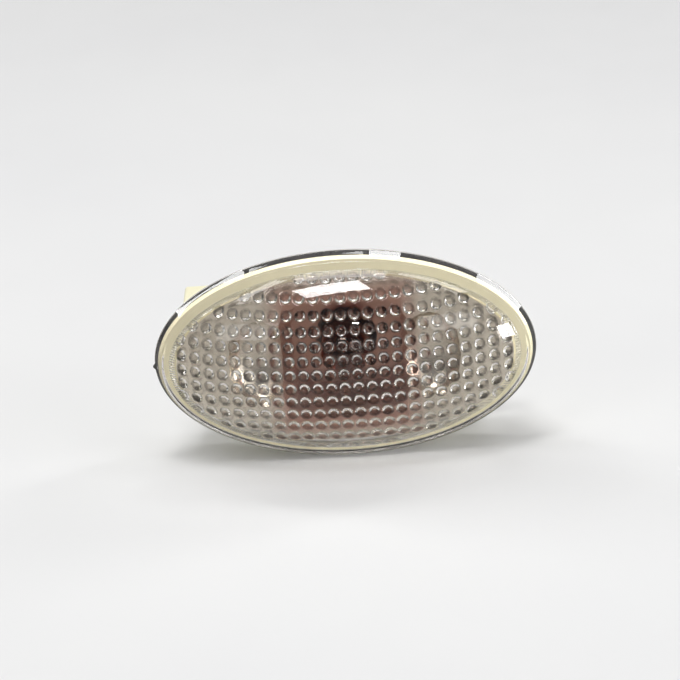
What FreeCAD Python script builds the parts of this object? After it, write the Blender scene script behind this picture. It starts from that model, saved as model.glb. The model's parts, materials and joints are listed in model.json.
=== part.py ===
"""Oval side indicator lamp that clips into an opening in a car's body panel, in millimetres.

The lens faces -Y, +X is to its right and +Z is up. The origin is the centre of the panel's
opening, on the panel's outer face, where the gasket bears. All that lies behind the panel has y > 0.
"""

import FreeCAD
import Part

import math
import os

Vector = FreeCAD.Vector
ACROSS = Vector(1, 0, 0)
INWARD = Vector(0, 1, 0)
UP = Vector(0, 0, 1)

# Lens: an ellipsoidal dome, a plain border round it and a skirt that flares towards the panel
LENS_WIDTH = 78.0
LENS_HEIGHT = 44.6
LENS_WALL = 2.0
SKIRT_WALL = 1.2
SKIRT_FLARE = 1.45
SKIRT_STANDOFF = 2.0
BORDER_WIDTH = 1.5
DOME_RISE = 10.8
DOME_DEPTH_AXIS = 19.5
GATE_REACH = 0.5
GATE_WIDTH = 0.9
GATE_THICKNESS = 1.0
GATE_DROP = 0.7

# Beads: the little raised lenses inside the dome, on a rectangular grid with one at its centre
BEAD_PITCH_X = 2.73
BEAD_PITCH_Z = 2.84
BEAD_DIAMETER = 2.2
BEAD_TOP_DIAMETER = 1.1
BEAD_HEIGHT = 0.45
BEAD_ROOT = 0.5
BEAD_SIDES = 8
BEAD_EDGE_GAP = 0.2

# Panel: the sheet that the lamp clips into, and its opening
PANEL_THICKNESS = 2.5
OPENING_WIDTH = 62.4
OPENING_HEIGHT = 32.2
OPENING_CLEARANCE = 0.3

# Gasket between the lamp's flange and the panel
GASKET_THICKNESS = 2.6
GASKET_CLEARANCE = 0.3

# Housing: a flange inside the lens skirt, and an oval tub that passes through the panel
FLANGE_THICKNESS = 1.2
FLANGE_CLEARANCE = 0.15
HOUSING_WALL = 1.8
HOUSING_DEPTH = 15.2
TUB_WIDTH = 55.2
TUB_TAPER = 3.6
COLLAR_HEIGHT = 1.6
COLLAR_WALL = 3.0
RIB_SPACING = 20.0
RIB_THICKNESS = 1.4
RIB_SHORTENING = 3.2

# Locating foot at the left end, which hooks behind the panel
FOOT_HOOK = 1.5
FOOT_HEIGHT = 20.0
FOOT_WALL = 1.6
FOOT_CORNER = 0.6
KEY_WALL = 1.6
KEY_LENGTH = 9.0

# Sprung tongue at the right end, which snaps behind the panel
TONGUE_WIDTH = 9.0
TONGUE_THICKNESS = 1.4
TONGUE_ROOT = 2.0
BARB_REACH = 2.0
BARB_LENGTH = 6.0
BARB_FLAT = 0.8

# Reflector: a bright plate with a deep bulb chamber between two scoops
REFLECTOR_WALL = 1.2
REFLECTOR_CLEARANCE = 0.3
CHAMBER_WIDTH = 26.6
CHAMBER_HEIGHT = 23.6
CHAMBER_CORNER = 6.5
CHAMBER_DRAFT = 2.2
SCOOP_SPACING = 34.4
SCOOP_WIDTH = 12.4
SCOOP_HEIGHT = 17.2
SCOOP_DEPTH = 4.6

# Bulb: an amber capless bulb with a flat pinched base
BULB_LENGTH = 26.5
BULB_DIAMETER = 10.2
BULB_STRAIGHT = 6.0
GLASS_WALL = 0.7
PINCH_LENGTH = 8.5
PINCH_WIDTH = 9.2
PINCH_THICKNESS = 2.6
LEAD_DIAMETER = 0.5
LEAD_SPACING = 5.0
LEAD_FOLD = 5.0
FILAMENT_DIAMETER = 0.45
FILAMENT_FROM_TIP = 9.0

# Bulb holder: a barrel that turns in the housing's rear wall and a socket for the wiring
BARREL_DIAMETER = 15.4
BARREL_CLEARANCE = 0.3
BARREL_REACH = 6.2
LUG_COUNT = 3
LUG_REACH = 2.0
LUG_THICKNESS = 1.5
LUG_ANGLE = 32.0
LUG_CLEARANCE = 0.3
NOTCH_EXTRA_ANGLE = 8.0
TWIST_TO_RELEASE = 45.0
SEAL_THICKNESS = 1.6
SEAL_WIDTH = 2.6
CAP_DIAMETER = 24.0
CAP_THICKNESS = 2.2
SLOT_CLEARANCE = 0.3
SOCKET_WIDTH = 14.0
SOCKET_HEIGHT = 9.0
SOCKET_DEPTH = 9.5
SOCKET_WALL = 1.4
SOCKET_CORNER = 1.6
SOCKET_FLOOR = 1.8
GRIP_THICKNESS = 2.4
GRIP_LENGTH = 6.5

# Contacts: sprung strips that press on the bulb's leads and end in blades
CONTACT_THICKNESS = 0.6
CONTACT_WIDTH = 4.0
CONTACT_FLARE = 1.0
CONTACT_TIP_INSET = 1.2
BLADE_OFFSET = 2.3
BLADE_INSET = 1.2

# How far the folded leads stand out from the middle of the bulb's base, and their bend
LEAD_REACH = PINCH_THICKNESS / 2 + LEAD_DIAMETER
LEAD_FOLD_RADIUS = (LEAD_REACH - LEAD_DIAMETER / 2) / 2

# Levels along Y, from the front of the lamp to its rear
SKIRT_REAR = -SKIRT_STANDOFF
FLANGE_REAR = -GASKET_THICKNESS
FLANGE_FRONT = FLANGE_REAR - FLANGE_THICKNESS
RIM_PLANE = FLANGE_FRONT - LENS_WALL
DOME_CENTRE = RIM_PLANE - DOME_RISE + DOME_DEPTH_AXIS
PLATE_FRONT = FLANGE_FRONT - REFLECTOR_WALL
REAR_WALL_FRONT = HOUSING_DEPTH - HOUSING_WALL
LUG_REAR = REAR_WALL_FRONT - LUG_CLEARANCE
BARREL_FRONT = HOUSING_DEPTH - BARREL_REACH
CHAMBER_REAR = BARREL_FRONT - REFLECTOR_CLEARANCE
CHAMBER_FLOOR = CHAMBER_REAR - REFLECTOR_WALL
SEAL_FRONT = HOUSING_DEPTH + COLLAR_HEIGHT
CAP_FRONT = SEAL_FRONT + SEAL_THICKNESS
CAP_REAR = CAP_FRONT + CAP_THICKNESS
BULB_REAR = CAP_REAR
BULB_TIP = BULB_REAR - BULB_LENGTH
PINCH_FRONT = BULB_REAR - PINCH_LENGTH
SLOT_FLOOR = BULB_REAR + LEAD_FOLD_RADIUS + LEAD_DIAMETER / 2 + SLOT_CLEARANCE
SOCKET_FRONT = SLOT_FLOOR + SOCKET_FLOOR
HOLDER_REAR = SOCKET_FRONT + SOCKET_DEPTH

# Half widths and half heights of the ovals, as (across, up)
SKIRT_BACK = (LENS_WIDTH / 2, LENS_HEIGHT / 2)
RIM = (SKIRT_BACK[0] - SKIRT_FLARE, SKIRT_BACK[1] - SKIRT_FLARE)
DOME_BASE = (RIM[0] - BORDER_WIDTH, RIM[1] - BORDER_WIDTH)
OPENING_FIT = (OPENING_WIDTH / 2 - OPENING_CLEARANCE, OPENING_HEIGHT / 2 - OPENING_CLEARANCE)
TUB_MOUTH = (TUB_WIDTH / 2, OPENING_FIT[1])
TUB_REAR = (TUB_MOUTH[0] - TUB_TAPER, TUB_MOUTH[1] - TUB_TAPER)

BARREL_RADIUS = BARREL_DIAMETER / 2
BARREL_HOLE = BARREL_RADIUS + BARREL_CLEARANCE
LUG_RADIUS = BARREL_RADIUS + LUG_REACH


def grown(oval, by):
    """An oval's half sizes with the same amount added to both."""
    return oval[0] + by, oval[1] + by


def oval_wire(oval, y):
    """An ellipse across the lamp at the level y."""
    centre = Vector(0, y, 0)
    return Part.Wire(Part.Ellipse(centre + ACROSS * oval[0], centre + UP * oval[1], centre).toShape())


def oval_loft(front, y_front, rear, y_rear):
    """A straight-sided solid between two ellipses."""
    return Part.makeLoft([oval_wire(front, y_front), oval_wire(rear, y_rear)], True, True)


def rounded_wire(width, height, corner, y):
    """A rectangle with round corners, across the lamp at the level y."""
    side, top = width / 2, height / 2
    inner_side, inner_top = side - corner, top - corner
    diagonal = corner * math.sqrt(0.5)
    edges = []
    for turn in range(4):
        along, across = (inner_side, top) if turn % 2 == 0 else (inner_top, side)
        next_along, next_across = (inner_top, side) if turn % 2 == 0 else (inner_side, top)
        start = Vector(-along, y, across)
        end = Vector(along, y, across)
        middle = Vector(along + diagonal, y, next_along + diagonal)
        corner_end = Vector(next_across, y, next_along)
        run = [Part.LineSegment(start, end).toShape(), Part.Arc(end, middle, corner_end).toShape()]
        for edge in run:
            edge.rotate(Vector(), INWARD, 90 * turn)
        edges += run
    return Part.Wire(edges)


def rounded_prism(width, height, corner, y_front, y_rear):
    """A block with a rounded rectangle for its section."""
    return Part.Face(rounded_wire(width, height, corner, y_front)).extrude(INWARD * (y_rear - y_front))


def cylinder(radius, y_front, y_rear):
    """A round bar along Y, on the lamp's axis."""
    return Part.makeCylinder(radius, y_rear - y_front, Vector(0, y_front, 0), INWARD)


def tube(outer, inner, y_front, y_rear):
    """A round tube along Y, on the lamp's axis."""
    return cylinder(outer, y_front, y_rear).cut(cylinder(inner, y_front, y_rear))


def block(x_low, x_high, y_low, y_high, z_low, z_high):
    """A rectangular block between two opposite corners."""
    return Part.makeBox(x_high - x_low, y_high - y_low, z_high - z_low, Vector(x_low, y_low, z_low))


def ellipsoid(across, deep, up, centre):
    """An ellipsoid with the given half sizes along X, Y and Z."""
    stretch = FreeCAD.Matrix()
    stretch.scale(across, deep, up)
    stretch.move(centre)
    return Part.makeSphere(1.0).transformGeometry(stretch)


def plan_prism(points, z_low, z_high):
    """A prism whose plan is the outline through (x, y) points."""
    corners = [Vector(x, y, z_low) for x, y in points]
    return Part.Face(Part.makePolygon(corners + corners[:1])).extrude(UP * (z_high - z_low))


def dome_axes(inset):
    """Half sizes along X, Y and Z of the dome's ellipsoid, moved in by inset."""
    base_depth = (DOME_DEPTH_AXIS - DOME_RISE) / DOME_DEPTH_AXIS
    spread = math.sqrt(1 - base_depth**2)
    return DOME_BASE[0] / spread - inset, DOME_DEPTH_AXIS - inset, DOME_BASE[1] / spread - inset


def dome_section(y, inset):
    """Half sizes of the oval in which the dome's ellipsoid is cut at the level y."""
    across, deep, up = dome_axes(inset)
    spread = math.sqrt(1 - ((DOME_CENTRE - y) / deep) ** 2)
    return across * spread, up * spread


def dome_cap(y_base, inset):
    """The part of the dome's ellipsoid that lies in front of the level y_base."""
    across, deep, up = dome_axes(inset)
    whole = ellipsoid(across, deep, up, Vector(0, DOME_CENTRE, 0))
    return whole.common(block(-across, across, DOME_CENTRE - deep, y_base, -up, up))


def skirt_oval(y, inset):
    """Half sizes of the flared skirt at the level y, moved in by inset."""
    share = (y - RIM_PLANE) / (SKIRT_REAR - RIM_PLANE)
    return grown(RIM, SKIRT_FLARE * share - inset)


def bead_form():
    """One bead: a many-sided frustum on Z whose root lies in the lens wall."""
    slope = (BEAD_DIAMETER - BEAD_TOP_DIAMETER) / 2 / BEAD_HEIGHT
    rings = []
    for radius, level in (
        (BEAD_DIAMETER / 2 + slope * BEAD_ROOT, -BEAD_ROOT),
        (BEAD_TOP_DIAMETER / 2, BEAD_HEIGHT),
    ):
        angles = [2 * math.pi * (i + 0.5) / BEAD_SIDES for i in range(BEAD_SIDES)]
        rings.append([Vector(radius * math.cos(a), radius * math.sin(a), level) for a in angles])
    low, high = rings
    faces = [Part.Face(Part.makePolygon(ring + ring[:1])) for ring in rings]
    for i in range(BEAD_SIDES):
        j = (i + 1) % BEAD_SIDES
        faces.append(Part.Face(Part.makePolygon([low[i], low[j], high[j], high[i], low[i]])))
    return Part.makeSolid(Part.makeShell(faces))


def bead_grid():
    """The (x, z) places of the beads that fit inside the dome's base."""
    limit = grown(dome_section(FLANGE_FRONT, LENS_WALL), -BEAD_DIAMETER / 2 - BEAD_EDGE_GAP)
    columns = int(limit[0] / BEAD_PITCH_X)
    rows = int(limit[1] / BEAD_PITCH_Z)
    places = []
    for column in range(-columns, columns + 1):
        for row in range(-rows, rows + 1):
            x = column * BEAD_PITCH_X
            z = row * BEAD_PITCH_Z
            if (x / limit[0]) ** 2 + (z / limit[1]) ** 2 <= 1:
                places.append((x, z))
    return places


def beads():
    """All the beads, each square to the dome's inner face."""
    across, deep, up = dome_axes(LENS_WALL)
    form = bead_form()
    placed = []
    for x, z in bead_grid():
        drop = deep * math.sqrt(1 - (x / across) ** 2 - (z / up) ** 2)
        inward = Vector(-x / across**2, drop / deep**2, -z / up**2)
        bead = form.copy()
        bead.Placement = FreeCAD.Placement(
            Vector(x, DOME_CENTRE - drop, z), FreeCAD.Rotation(UP, inward)
        )
        placed.append(bead)
    return placed


def gate_stub():
    """The stub at the left end of the skirt, where the plastic was let into the mould."""
    tip = -SKIRT_BACK[0] - GATE_REACH
    root = -SKIRT_BACK[0] + SKIRT_WALL / 2
    low, high = -GATE_DROP - GATE_WIDTH / 2, -GATE_DROP + GATE_WIDTH / 2
    return block(tip, root, SKIRT_REAR - GATE_THICKNESS, SKIRT_REAR, low, high)


def lens():
    """The clear moulding: dome, border and a thinner skirt, with beads all over the inside of the dome."""
    outside = oval_loft(RIM, RIM_PLANE, SKIRT_BACK, SKIRT_REAR).fuse(dome_cap(RIM_PLANE, 0))
    seat = skirt_oval(FLANGE_FRONT, SKIRT_WALL)
    mouth = skirt_oval(SKIRT_REAR, SKIRT_WALL)
    inside = oval_loft(seat, FLANGE_FRONT, mouth, SKIRT_REAR).fuse(dome_cap(FLANGE_FRONT, LENS_WALL))
    return outside.cut(inside).multiFuse(beads() + [gate_stub()])


def panel_gasket():
    """The soft ring that seals the lamp to the panel."""
    outer = skirt_oval(FLANGE_REAR, SKIRT_WALL + GASKET_CLEARANCE)
    inner = (OPENING_WIDTH / 2, OPENING_HEIGHT / 2)
    ring = oval_loft(outer, FLANGE_REAR, outer, 0)
    return ring.cut(oval_loft(inner, FLANGE_REAR, inner, 0))


def tub_oval(y, inset):
    """Half sizes of the tapering tub at the level y, moved in by inset."""
    share = (y - FLANGE_REAR) / (HOUSING_DEPTH - FLANGE_REAR)
    return grown(TUB_MOUTH, -TUB_TAPER * share - inset)


def tub_inside():
    """The hollow of the housing, open at the front of its flange."""
    front = tub_oval(FLANGE_FRONT, HOUSING_WALL)
    return oval_loft(front, FLANGE_FRONT, tub_oval(REAR_WALL_FRONT, HOUSING_WALL), REAR_WALL_FRONT)


def locating_key():
    """The curved wall at the left end that meets the edge of the panel's opening."""
    ring = oval_loft(OPENING_FIT, FLANGE_REAR, OPENING_FIT, PANEL_THICKNESS)
    inner = grown(OPENING_FIT, -KEY_WALL)
    ring = ring.cut(oval_loft(inner, FLANGE_REAR, inner, PANEL_THICKNESS))
    left, top = OPENING_FIT
    return ring.common(block(-left, -left + KEY_LENGTH, FLANGE_REAR, PANEL_THICKNESS, -top, top))


def locating_foot():
    """The box at the left end, open at the rear, whose front wall hooks behind the panel."""
    reach = -OPENING_WIDTH / 2 - FOOT_HOOK
    half = FOOT_HEIGHT / 2
    outside = block(reach, 0, PANEL_THICKNESS, HOUSING_DEPTH, -half, half)
    outer_corners = [edge for edge in outside.Edges if edge.BoundBox.XMax - reach < FOOT_CORNER]
    outside = outside.makeFillet(FOOT_CORNER, outer_corners)
    pocket_front = PANEL_THICKNESS + FOOT_WALL
    pocket = block(reach + FOOT_WALL, 0, pocket_front, HOUSING_DEPTH, FOOT_WALL / 2, half - FOOT_WALL)
    return outside.cut(pocket).cut(pocket.mirror(Vector(), UP))


def sprung_tongue():
    """The springy blade at the right end, rooted at the rear, with a barb that catches the panel."""
    outer = OPENING_FIT[0]
    inner = outer - TONGUE_THICKNESS
    tip = OPENING_WIDTH / 2 + BARB_REACH
    plan = [
        (inner, PANEL_THICKNESS),
        (tip, PANEL_THICKNESS),
        (tip, PANEL_THICKNESS + BARB_FLAT),
        (outer, PANEL_THICKNESS + BARB_LENGTH),
        (outer, HOUSING_DEPTH),
        (0, HOUSING_DEPTH),
        (0, HOUSING_DEPTH - TONGUE_ROOT),
        (inner, HOUSING_DEPTH - TONGUE_ROOT),
    ]
    return plan_prism(plan, -TONGUE_WIDTH / 2, TONGUE_WIDTH / 2)


def guide_ribs():
    """Four ribs along the tub, two above and two below, level with the panel's opening."""
    rib_x = RIB_SPACING / 2
    rise = OPENING_FIT[1] * math.sqrt(1 - (rib_x / TUB_MOUTH[0]) ** 2)
    rear = HOUSING_DEPTH - RIB_SHORTENING
    near, far = rib_x - RIB_THICKNESS / 2, rib_x + RIB_THICKNESS / 2
    pair = [block(near, far, FLANGE_REAR, rear, -rise, rise)]
    return pair + [pair[0].mirror(Vector(), ACROSS)]


def bayonet_sectors(radius, angle, turned, y_front, y_rear):
    """Slices of a round bar, evenly spaced round the lamp's axis."""
    height = y_rear - y_front
    sectors = []
    for i in range(LUG_COUNT):
        sector = Part.makeCylinder(radius, height, Vector(0, y_front, 0), INWARD, angle)
        sector.rotate(Vector(), INWARD, turned - angle / 2 + 360 * i / LUG_COUNT)
        sectors.append(sector)
    return sectors


def housing():
    """The moulding that carries everything: flange, tub, key, foot, tongue, ribs and bayonet hole."""
    flange_front = skirt_oval(FLANGE_FRONT, SKIRT_WALL + FLANGE_CLEARANCE)
    flange_rear = skirt_oval(FLANGE_REAR, SKIRT_WALL + FLANGE_CLEARANCE)
    flange = oval_loft(flange_front, FLANGE_FRONT, flange_rear, FLANGE_REAR)
    tub = oval_loft(TUB_MOUTH, FLANGE_REAR, TUB_REAR, HOUSING_DEPTH)
    collar = cylinder(BARREL_HOLE + COLLAR_WALL, HOUSING_DEPTH, SEAL_FRONT)
    outside = flange.multiFuse([tub, collar, locating_key(), locating_foot(), sprung_tongue()] + guide_ribs())
    hole = cylinder(BARREL_HOLE, REAR_WALL_FRONT, SEAL_FRONT)
    notches = bayonet_sectors(
        LUG_RADIUS + BARREL_CLEARANCE,
        LUG_ANGLE + NOTCH_EXTRA_ANGLE,
        TWIST_TO_RELEASE,
        REAR_WALL_FRONT,
        SEAL_FRONT,
    )
    return outside.cut(tub_inside().multiFuse([hole] + notches)).removeSplitter()


def chamber(wall, y_rear):
    """The bulb chamber's tapering form, with a wall's thickness added all round."""
    front = rounded_wire(
        CHAMBER_WIDTH + 2 * wall, CHAMBER_HEIGHT + 2 * wall, CHAMBER_CORNER + wall, PLATE_FRONT
    )
    grow = 2 * (wall - CHAMBER_DRAFT)
    rear = rounded_wire(CHAMBER_WIDTH + grow, CHAMBER_HEIGHT + grow, CHAMBER_CORNER + wall, y_rear)
    return Part.makeLoft([front, rear], True, True)


def scoops(wall):
    """The two shallow bowls beside the chamber, with a wall's thickness added all round."""
    pair = []
    for side in (-1, 1):
        centre = Vector(side * SCOOP_SPACING / 2, PLATE_FRONT, 0)
        across, deep, up = SCOOP_WIDTH / 2 + wall, SCOOP_DEPTH + wall, SCOOP_HEIGHT / 2 + wall
        bowl = ellipsoid(across, deep, up, centre)
        rear_half = block(
            centre.x - across, centre.x + across, PLATE_FRONT, PLATE_FRONT + deep, -up, up
        )
        pair.append(bowl.common(rear_half))
    return pair


def reflector():
    """The metallised insert, trapped between the dome and the housing's flange."""
    rim = grown(dome_section(PLATE_FRONT, LENS_WALL), -REFLECTOR_CLEARANCE)
    plate = oval_loft(rim, PLATE_FRONT, rim, FLANGE_FRONT)
    outside = plate.multiFuse([chamber(REFLECTOR_WALL, CHAMBER_REAR)] + scoops(REFLECTOR_WALL))
    bulb_hole = cylinder(BULB_DIAMETER / 2 + REFLECTOR_WALL, CHAMBER_FLOOR, CHAMBER_REAR)
    for hollow in [chamber(0, CHAMBER_FLOOR), bulb_hole] + scoops(0):
        outside = outside.cut(hollow)
    return outside


def bulb_profile(inset):
    """The round part of the bulb, turned about its axis, with its wall moved in by inset."""
    radius = BULB_DIAMETER / 2 - inset
    centre = BULB_TIP + BULB_DIAMETER / 2
    shoulder = centre + BULB_STRAIGHT
    round_end = Vector(0, centre - radius, 0)
    arc = Part.Arc(
        round_end,
        Vector(radius * math.sqrt(0.5), centre - radius * math.sqrt(0.5), 0),
        Vector(radius, centre, 0),
    ).toShape()
    outline = Part.makePolygon(
        [Vector(radius, centre, 0), Vector(radius, shoulder, 0), Vector(0, shoulder, 0), round_end]
    )
    return Part.Face(Part.Wire([arc] + outline.Edges)).revolve(Vector(), INWARD, 360)


def bulb_neck(inset, y_rear, thickness):
    """The stretch where the round bulb is drawn into its flat base."""
    shoulder = BULB_TIP + BULB_DIAMETER / 2 + BULB_STRAIGHT
    radius = BULB_DIAMETER / 2 - inset
    return oval_loft((radius, radius), shoulder, (PINCH_WIDTH / 2 - inset, thickness / 2), y_rear)


def bulb_lead(side):
    """One lead wire: down from the filament, out of the base and folded back along its flat."""
    x = side * LEAD_SPACING / 2
    fold = 2 * LEAD_FOLD_RADIUS
    top = Vector(x, BULB_TIP + FILAMENT_FROM_TIP, 0)
    turn = Vector(x, BULB_REAR, 0)
    turned = turn + UP * side * fold
    middle = (turn + turned) * 0.5 + INWARD * LEAD_FOLD_RADIUS
    path = Part.Wire(
        [
            Part.LineSegment(top, turn).toShape(),
            Part.Arc(turn, middle, turned).toShape(),
            Part.LineSegment(turned, turned - INWARD * LEAD_FOLD).toShape(),
        ]
    )
    section = Part.Wire(Part.Circle(top, INWARD, LEAD_DIAMETER / 2).toShape())
    return path.makePipeShell([section], True, False)


def bulb_glass():
    """The amber envelope: a hollow round bulb drawn into a flat base that grips the leads."""
    pinch = block(
        -PINCH_WIDTH / 2,
        PINCH_WIDTH / 2,
        PINCH_FRONT - PINCH_THICKNESS,
        BULB_REAR,
        -PINCH_THICKNESS / 2,
        PINCH_THICKNESS / 2,
    )
    long_edges = [edge for edge in pinch.Edges if abs(edge.tangentAt(edge.FirstParameter).y) > 0.5]
    pinch = pinch.makeFillet(PINCH_THICKNESS / 4, long_edges)
    outside = bulb_profile(0).fuse(bulb_neck(0, PINCH_FRONT, PINCH_THICKNESS)).fuse(pinch)
    cavity_rear = PINCH_FRONT - PINCH_THICKNESS
    hollow = bulb_profile(GLASS_WALL).fuse(bulb_neck(GLASS_WALL, cavity_rear, PINCH_THICKNESS))
    return outside.cut(hollow.multiFuse([bulb_lead(-1), bulb_lead(1)]))


def bulb_filament():
    """The filament: an arch between the tops of the two leads."""
    top = BULB_TIP + FILAMENT_FROM_TIP
    reach = LEAD_SPACING / 2
    rise = Vector(0, top - reach / 2, 0)
    arch = Part.Arc(Vector(-reach, top, 0), rise, Vector(reach, top, 0)).toShape()
    section = Part.Circle(Vector(-reach, top, 0), arch.tangentAt(arch.FirstParameter), FILAMENT_DIAMETER / 2)
    wire = Part.Wire(arch).makePipeShell([Part.Wire(section.toShape())], True, False)
    return wire.cut(bulb_lead(-1)).cut(bulb_lead(1))


def contact(side):
    """One contact: a strip sprung against a lead, straight back through the floor to its blade."""
    front = BARREL_FRONT + CONTACT_TIP_INSET
    press = BULB_REAR - LEAD_FOLD
    near = LEAD_REACH
    blade_rear = HOLDER_REAR - BLADE_INSET
    inner = [
        (front, near + CONTACT_FLARE),
        (press, near),
        (BULB_REAR, near),
        (SLOT_FLOOR, BLADE_OFFSET),
        (blade_rear, BLADE_OFFSET),
    ]
    outer = [(y, z + CONTACT_THICKNESS) for y, z in reversed(inner)]
    x_low = side * LEAD_SPACING / 2 - CONTACT_WIDTH / 2
    corners = [Vector(x_low, y, side * z) for y, z in inner + outer]
    return Part.Face(Part.makePolygon(corners + corners[:1])).extrude(ACROSS * CONTACT_WIDTH)


def bulb_slot():
    """The slot in the barrel for the bulb's base, with a channel for each contact and a cup for the neck."""
    half_width = PINCH_WIDTH / 2 + SLOT_CLEARANCE
    half_height = PINCH_THICKNESS / 2 + SLOT_CLEARANCE
    slot = block(-half_width, half_width, BARREL_FRONT, SLOT_FLOOR, -half_height, half_height)
    channel_top = LEAD_REACH + CONTACT_FLARE + CONTACT_THICKNESS + SLOT_CLEARANCE
    half_channel = CONTACT_WIDTH / 2 + SLOT_CLEARANCE
    lead_x = LEAD_SPACING / 2
    upper = block(lead_x - half_channel, lead_x + half_channel, BARREL_FRONT, SLOT_FLOOR, 0, channel_top)
    lower = upper.copy()
    lower.rotate(Vector(), INWARD, 180)
    cup = cylinder(BULB_DIAMETER / 2 + SLOT_CLEARANCE, BARREL_FRONT, PINCH_FRONT + SLOT_CLEARANCE)
    return slot.multiFuse([upper, lower, cup])


def bulb_holder():
    """The moulding that turns to lock: barrel, lugs, cap, finger grips and wiring socket."""
    barrel = cylinder(BARREL_RADIUS, BARREL_FRONT, CAP_REAR)
    lugs = bayonet_sectors(LUG_RADIUS, LUG_ANGLE, 0, LUG_REAR - LUG_THICKNESS, LUG_REAR)
    cap = cylinder(CAP_DIAMETER / 2, CAP_FRONT, CAP_REAR)
    outer_width = SOCKET_WIDTH + 2 * SOCKET_WALL
    outer_height = SOCKET_HEIGHT + 2 * SOCKET_WALL
    shroud = rounded_prism(outer_width, outer_height, SOCKET_CORNER + SOCKET_WALL, CAP_REAR, HOLDER_REAR)
    grip = block(
        -CAP_DIAMETER / 2,
        CAP_DIAMETER / 2,
        CAP_REAR,
        CAP_REAR + GRIP_LENGTH,
        -GRIP_THICKNESS / 2,
        GRIP_THICKNESS / 2,
    ).common(cylinder(CAP_DIAMETER / 2, CAP_REAR, CAP_REAR + GRIP_LENGTH))
    outside = barrel.multiFuse(lugs + [cap, shroud, grip])
    socket = rounded_prism(SOCKET_WIDTH, SOCKET_HEIGHT, SOCKET_CORNER, SOCKET_FRONT, HOLDER_REAR)
    return outside.cut(socket.multiFuse([bulb_slot(), contact(-1), contact(1)])).removeSplitter()


def holder_seal():
    """The rubber ring squeezed between the housing's collar and the holder's cap."""
    return tube(BARREL_RADIUS + SEAL_WIDTH, BARREL_RADIUS, SEAL_FRONT, CAP_FRONT)


def build():
    """Every piece of the lamp, by its name."""
    return {
        "lens": lens(),
        "housing": housing(),
        "reflector": reflector(),
        "panel_gasket": panel_gasket(),
        "bulb_glass": bulb_glass(),
        "bulb_filament": bulb_filament(),
        "bulb_lead_left": bulb_lead(-1),
        "bulb_lead_right": bulb_lead(1),
        "bulb_holder": bulb_holder(),
        "holder_seal": holder_seal(),
        "contact_left": contact(-1),
        "contact_right": contact(1),
    }


os.makedirs("parts", exist_ok=True)
for name, piece in build().items():
    piece.exportStep(f"parts/{name}.step")
    print(name, "solids", len(piece.Solids), "valid", piece.isValid(), "volume", round(piece.Volume, 1))
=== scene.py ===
# %% [markdown]
# # Oval side indicator lamp
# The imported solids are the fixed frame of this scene. Two pieces are drawn again, where a solid is plainer
# than the real thing: the lens, whose round beads are eight-sided in the solid, and the bulb's coiled
# filament. All other pieces are the solids themselves, and each gets its finish here.

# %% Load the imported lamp
import json
import math

import bpy
import numpy as np
from mathutils import Matrix, Vector


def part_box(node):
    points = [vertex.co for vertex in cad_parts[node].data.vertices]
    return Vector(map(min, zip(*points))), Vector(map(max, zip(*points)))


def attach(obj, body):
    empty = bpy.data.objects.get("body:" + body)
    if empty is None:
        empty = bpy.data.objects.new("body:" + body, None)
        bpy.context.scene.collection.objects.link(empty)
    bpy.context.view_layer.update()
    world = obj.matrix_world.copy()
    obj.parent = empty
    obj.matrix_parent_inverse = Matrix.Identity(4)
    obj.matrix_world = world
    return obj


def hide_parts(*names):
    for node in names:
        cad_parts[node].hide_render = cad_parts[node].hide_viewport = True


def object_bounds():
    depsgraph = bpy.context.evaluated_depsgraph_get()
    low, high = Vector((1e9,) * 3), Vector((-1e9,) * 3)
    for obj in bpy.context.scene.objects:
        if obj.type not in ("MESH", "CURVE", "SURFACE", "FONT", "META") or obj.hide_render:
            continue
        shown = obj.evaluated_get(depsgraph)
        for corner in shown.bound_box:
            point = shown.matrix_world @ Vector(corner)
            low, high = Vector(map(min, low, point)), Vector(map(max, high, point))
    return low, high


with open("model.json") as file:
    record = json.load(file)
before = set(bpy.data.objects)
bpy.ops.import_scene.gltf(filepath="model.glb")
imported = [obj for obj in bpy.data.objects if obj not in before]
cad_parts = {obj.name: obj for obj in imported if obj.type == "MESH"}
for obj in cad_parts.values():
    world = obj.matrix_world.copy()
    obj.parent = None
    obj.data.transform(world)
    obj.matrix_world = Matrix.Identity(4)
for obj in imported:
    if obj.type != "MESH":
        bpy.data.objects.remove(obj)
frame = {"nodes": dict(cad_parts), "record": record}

MM = 0.001
scene = bpy.context.scene
solids = frame["nodes"]
cad_low, cad_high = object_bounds()
print(len(solids), "solids,", round((cad_high.x - cad_low.x) / MM, 1), "mm wide")

# %% [markdown]
# ## Lens
# The lens is one clear acrylic moulding: a dome, a plain border, and a skirt that flares towards the
# panel. The mould's outer half is polished smooth, and its inner half has a round dimple for each bead.
# The beads could be caps laid on a dome, but the lens would then be many shells, and light would bend
# wrongly where they meet. Here the whole lens is one skin. All its sizes follow from the solid's box and
# a few walls and depths.

# %% Sizes of the lens
lens_low, lens_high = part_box("lens")
LENS_WALL = 2.0 * MM
SKIRT_WALL = 1.2 * MM
SKIRT_FLARE = 1.45 * MM
SKIRT_DEPTH = 3.8 * MM
BORDER_WIDTH = 1.5 * MM
DOME_DEPTH_AXIS = 19.5 * MM
WELD_GAP = 0.06 * MM

BACK_EDGE = lens_high.y
RIM_LEVEL = BACK_EDGE - SKIRT_DEPTH
LEDGE_LEVEL = RIM_LEVEL + LENS_WALL - WELD_GAP
DOME_CENTRE = lens_low.y + DOME_DEPTH_AXIS
BACK_OVAL = np.array([lens_high.x, lens_high.z])
RIM_OVAL = BACK_OVAL - SKIRT_FLARE
DOME_OVAL = RIM_OVAL - BORDER_WIDTH


def section_share(depth_axis, level):
    """Size of an ellipsoid's section at a level, as a share of its size at its middle:
    the square root of one less the square of (level - middle) / depth axis."""
    return math.sqrt(1 - ((level - DOME_CENTRE) / depth_axis) ** 2)


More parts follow.
